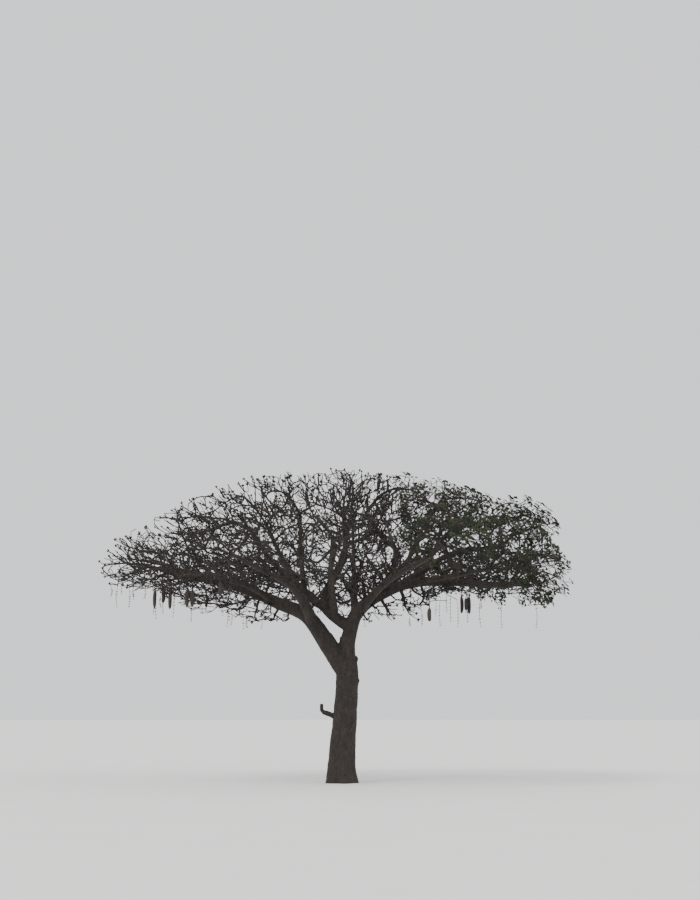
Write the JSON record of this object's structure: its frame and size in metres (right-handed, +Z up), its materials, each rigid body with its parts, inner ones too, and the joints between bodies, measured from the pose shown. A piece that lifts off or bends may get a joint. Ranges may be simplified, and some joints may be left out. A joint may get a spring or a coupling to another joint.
{
  "type": "sausage tree",
  "caption": "Broad savanna tree in the dry season: forked trunk, wide low dome of bare twigs with new leaves on one side, and long fruits hanging on stalks.",
  "frame": {"origin": "centre of the trunk's flat cut at ground level", "axes": "+X along the crown's width, from the bare side to the leafy side, +Y to the back, away from the picture's camera, +Z up"},
  "size_m": [14.9596, 13.0712, 9.992],
  "materials": {
    "bark": "rough grey-brown bark",
    "twigs": "matte grey-brown twigs",
    "foliage": "matte dark olive leaves on grey-brown twigs"
  },
  "bodies": {
    "root": {"broken_limb": "bark", "centre_bough": "bark", "centre_left_bough": "bark", "centre_left_twigs": "twigs", "centre_twigs": "twigs", "fore_bough": "bark", "fore_crest_bough": "bark", "fore_crest_twigs": "twigs", "fore_left_bough": "bark", "fore_left_crest_bough": "bark", "fore_left_crest_twigs": "twigs", "fore_left_twigs": "twigs", "fore_right_bough": "bark", "fore_right_crest_bough": "bark", "fore_right_crest_foliage": "foliage", "fore_right_foliage": "foliage", "fore_twigs": "twigs", "left_crest_bough": "bark", "left_crest_twigs": "twigs", "left_end_twigs": "twigs", "left_fore_bough": "bark", "left_fore_twigs": "twigs", "left_limb": "bark", "left_rear_bough": "bark", "left_rear_twigs": "twigs", "low_left_bough": "bark", "low_left_twigs": "twigs", "rear_bough": "bark", "rear_crest_bough": "bark", "rear_crest_twigs": "twigs", "rear_left_bough": "bark", "rear_left_crest_bough": "bark", "rear_left_crest_twigs": "twigs", "rear_left_twigs": "twigs", "rear_right_bough": "bark", "rear_right_crest_bough": "bark", "rear_right_crest_foliage": "foliage", "rear_right_foliage": "foliage", "rear_twigs": "twigs", "right_crest_bough": "bark", "right_crest_twigs": "twigs", "right_end_foliage": "foliage", "right_fore_bough": "bark", "right_fore_foliage": "foliage", "right_high_bough": "bark", "right_high_crest_bough": "bark", "right_high_crest_foliage": "foliage", "right_high_foliage": "foliage", "right_limb": "bark", "right_rear_bough": "bark", "right_rear_foliage": "foliage", "trunk": "bark"}
  },
  "joints": []
}
